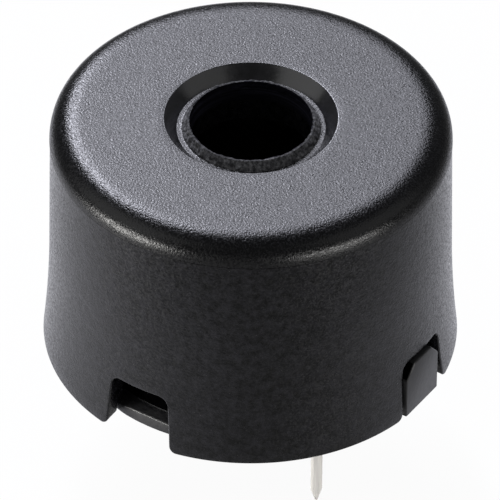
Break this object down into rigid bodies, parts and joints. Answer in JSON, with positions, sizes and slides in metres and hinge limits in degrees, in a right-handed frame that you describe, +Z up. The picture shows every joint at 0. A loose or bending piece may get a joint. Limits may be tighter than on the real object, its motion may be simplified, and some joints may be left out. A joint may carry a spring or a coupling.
{
  "type": "piezo buzzer",
  "caption": "Round black pin-type piezo buzzer with a collared sound hole in its flat top, a slightly flared side with notches in the rim, and flat solder pins below.",
  "frame": {"origin": "centre of the case at the plane of the circuit board, midway between the pins", "axes": "+Z up out of the sound hole, X through the two pins"},
  "size_m": [0.017, 0.017, 0.017],
  "materials": {
    "case_plastic": "black moulded plastic, fine spark grain on the top and satin on the side",
    "base_plastic": "black moulded plastic, satin",
    "plate_metal": "rolled nickel alloy, bright",
    "piezo_ceramic": "sintered ceramic, matt",
    "fired_silver": "fired silver, matt",
    "bond_silicone": "cured silicone, slightly glossy",
    "terminal_tin": "bright tin plate"
  },
  "bodies": {
    "root": {"case": "case_plastic", "base_plate": "base_plastic", "vibration_plate": "plate_metal", "piezo_disc": "piezo_ceramic", "silver_electrode": "fired_silver", "bond_ring": "bond_silicone", "plate_terminal": "terminal_tin", "electrode_terminal": "terminal_tin"}
  },
  "joints": []
}
